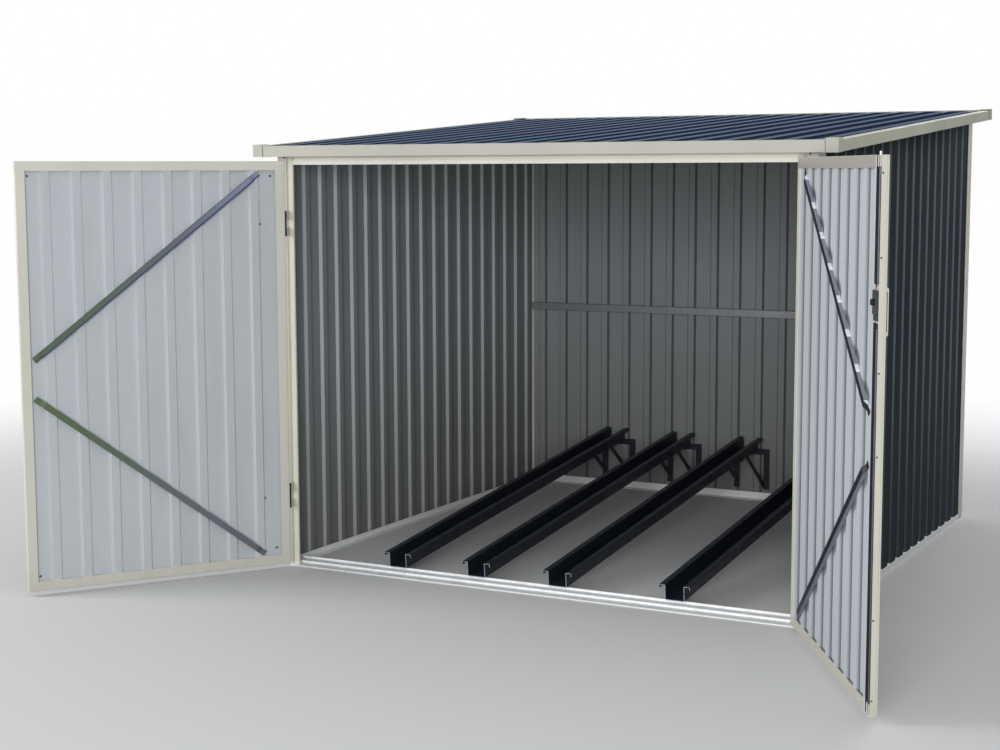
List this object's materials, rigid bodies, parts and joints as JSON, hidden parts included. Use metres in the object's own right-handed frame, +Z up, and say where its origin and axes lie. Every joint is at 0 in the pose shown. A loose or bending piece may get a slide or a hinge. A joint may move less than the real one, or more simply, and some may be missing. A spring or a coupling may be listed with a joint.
{
  "type": "bike shelter",
  "caption": "Low lean-to bike store of ribbed sheet steel with a shallow rear-rising roof, two outward hinged doors and inclined wheel tracks inside.",
  "frame": {"origin": "on the ground at the middle of the door sill, level with the front face of the jambs", "axes": "+X right along the front seen from outside, +Y into the store, +Z up"},
  "size_m": [2.8062, 2.7307, 1.5957],
  "materials": {
    "trim": "cream powder coat on folded steel",
    "cladding": "anthracite outside, pale grey primer inside, on ribbed steel sheet",
    "zinc": "dull zinc-coated steel",
    "track": "near-black paint on folded steel",
    "hinge": "black coated steel",
    "lock": "black lock housing",
    "handle": "satin steel pull"
  },
  "bodies": {
    "shelter": {"door_sill": "zinc", "base_rail_left": "zinc", "base_rail_right": "zinc", "base_rail_back": "zinc", "jamb_left": "trim", "jamb_right": "trim", "corner_post_left": "trim", "corner_post_right": "trim", "door_header": "trim", "wall_left": "cladding", "wall_right": "cladding", "wall_back": "cladding", "top_rail_left": "zinc", "top_rail_right": "zinc", "top_rail_back": "zinc", "roof_beam": "zinc", "rear_girt": "zinc", "roof_sheet": "cladding", "fascia_front": "trim", "fascia_rear": "trim", "barge_left": "trim", "barge_right": "trim", "roof_corner_caps": "trim", "wheel_track_1": "track", "wheel_track_2": "track", "wheel_track_3": "track", "wheel_track_4": "track", "track_stands": "track", "left_door_hinge_pins": "hinge", "right_door_hinge_pins": "hinge"},
    "left_door": {"left_door_hinge_stile": "trim", "left_door_lock_stile": "trim", "left_door_bottom_rail": "trim", "left_door_top_rail": "trim", "left_door_sheet": "cladding", "left_door_braces": "zinc", "left_door_hinges": "hinge"},
    "right_door": {"right_door_hinge_stile": "trim", "right_door_lock_stile": "trim", "right_door_bottom_rail": "trim", "right_door_top_rail": "trim", "right_door_sheet": "cladding", "right_door_braces": "zinc", "right_door_hinges": "hinge", "right_door_lock_case": "lock", "right_door_handle": "handle", "right_door_shoot_bolts": "zinc"}
  },
  "joints": [
    {"name": "left_door_hinge", "type": "hinge", "parent": "shelter", "child": "left_door", "pos_m": [-0.911, -0.022, 0.7], "axis": [0, 0, -1], "range_deg": [-124, 46]},
    {"name": "right_door_hinge", "type": "hinge", "parent": "shelter", "child": "right_door", "pos_m": [0.911, -0.022, 0.7], "axis": [0, 0, 1], "range_deg": [-121, 49]}
  ]
}
